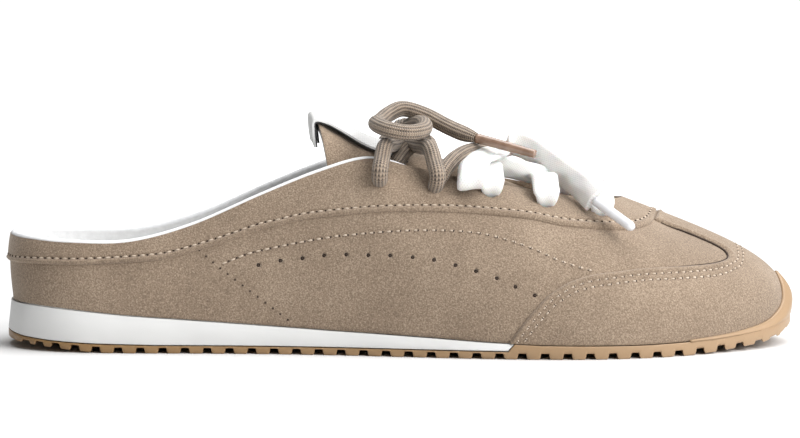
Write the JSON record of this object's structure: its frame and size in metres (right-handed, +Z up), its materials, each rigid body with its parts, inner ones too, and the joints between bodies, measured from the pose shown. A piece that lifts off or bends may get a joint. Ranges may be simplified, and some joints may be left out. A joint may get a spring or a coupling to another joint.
{
  "type": "sneaker mule",
  "caption": "Low backless lace-up shoe with a suede upper, open collar, rubber bottom with cross lugs, foam wedge, tongue and two kinds of lace.",
  "frame": {"origin": "centre of the shoe's outline on the floor, without the free lace ends", "axes": "+X to the toe, +Y to the inner side of the foot, +Z up"},
  "size_m": [0.269, 0.0972, 0.0828],
  "materials": {
    "suede": "napped suede, matte",
    "gum_rubber": "satin tan gum rubber",
    "white_foam": "smooth satin",
    "footbed": "matte lining cloth",
    "white_tape": "satin webbing",
    "beige_lace": "braided, slight sheen",
    "white_ribbon": "satin ribbon",
    "brown_tip": "glossy film",
    "clear_tip": "glossy film"
  },
  "bodies": {
    "root": {"outsole": "gum_rubber", "midsole": "white_foam", "insole": "footbed", "upper": "suede", "collar_band": "suede", "toe_guard": "suede", "tongue": "suede", "tongue_tape": "white_tape", "lace_bars": "beige_lace", "ribbon_bars": "white_ribbon", "lace_end": "beige_lace", "lace_tip": "brown_tip", "ribbon_end": "white_ribbon", "ribbon_tip": "clear_tip"}
  },
  "joints": []
}
